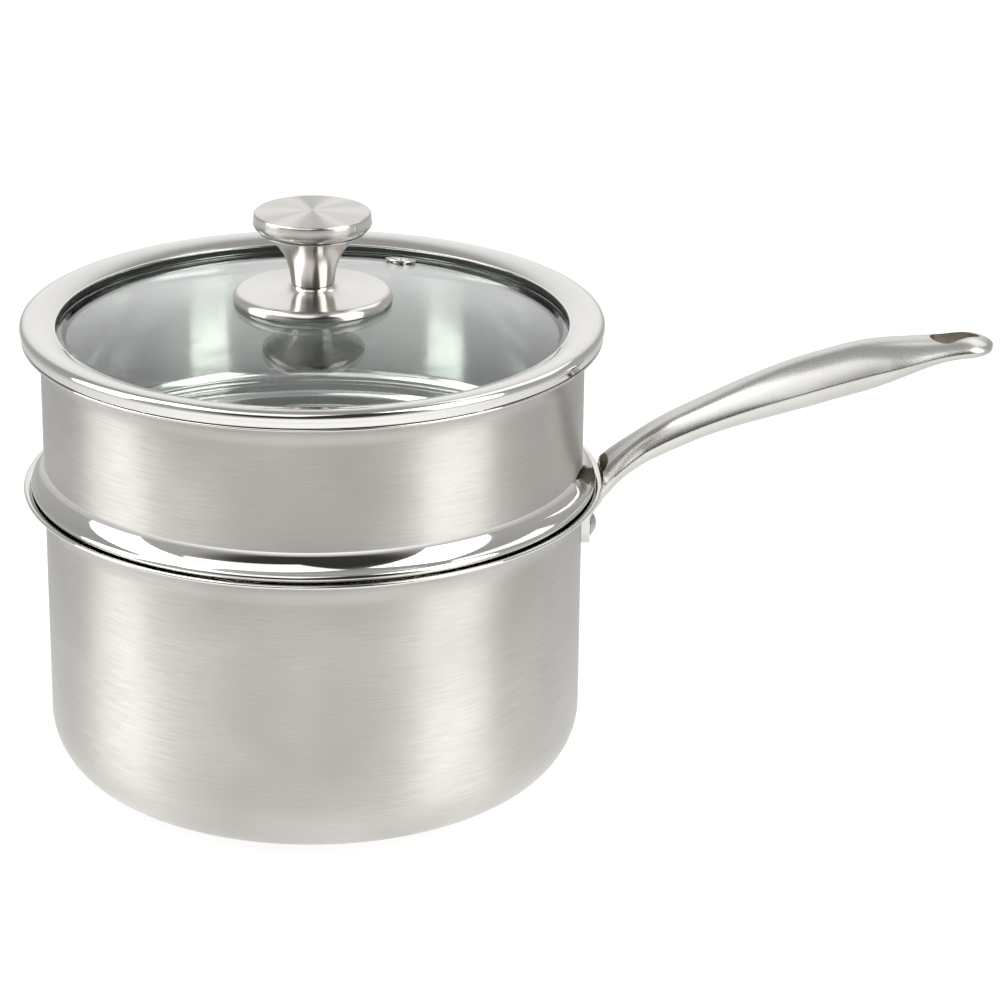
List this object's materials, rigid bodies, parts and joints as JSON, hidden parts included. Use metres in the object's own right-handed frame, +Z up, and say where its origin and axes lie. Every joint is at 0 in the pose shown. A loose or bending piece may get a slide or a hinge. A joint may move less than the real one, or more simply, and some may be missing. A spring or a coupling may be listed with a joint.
{
  "type": "steamer pot",
  "caption": "Stainless saucepan with a riveted long handle, a perforated steamer insert seated in its flared lip, and a domed glass lid with a steel rim, steam vent and screwed knob.",
  "frame": {"origin": "centre of the pan's flat base", "axes": "+Z up along the pan's axis, +X along the handle, +Y away from the viewer"},
  "size_m": [0.3678, 0.2198, 0.2204],
  "materials": {
    "brushed_steel": "stainless sheet, brushed round the axis",
    "cast_steel": "stainless casting, bead-blasted satin",
    "polished_steel": "stainless, mirror polished",
    "satin_steel": "stainless, lathe-spun satin",
    "glass": "clear tempered glass, faint green",
    "silicone": "translucent silicone rubber",
    "brass": "turned brass insert"
  },
  "bodies": {
    "saucepan": {"saucepan_body": "brushed_steel", "handle": "cast_steel", "handle_rivet": "polished_steel"},
    "steamer": {"steamer_insert": "brushed_steel"},
    "lid": {"lid_glass": "glass", "lid_rim": "polished_steel", "lid_seal": "silicone", "vent_grommet": "polished_steel", "knob_base": "satin_steel", "knob_stem": "satin_steel", "knob_cap": "satin_steel", "knob_nut": "brass", "knob_screw": "polished_steel", "knob_gasket": "silicone", "glass_grommet": "silicone", "screw_washer": "polished_steel"}
  },
  "joints": [
    {"name": "insert_lift", "type": "slide", "parent": "saucepan", "child": "steamer", "axis": [0, 0, 1], "range_m": [0, 0.12]},
    {"name": "lid_lift", "type": "slide", "parent": "steamer", "child": "lid", "axis": [0, 0, 1], "range_m": [0, 0.1]}
  ]
}
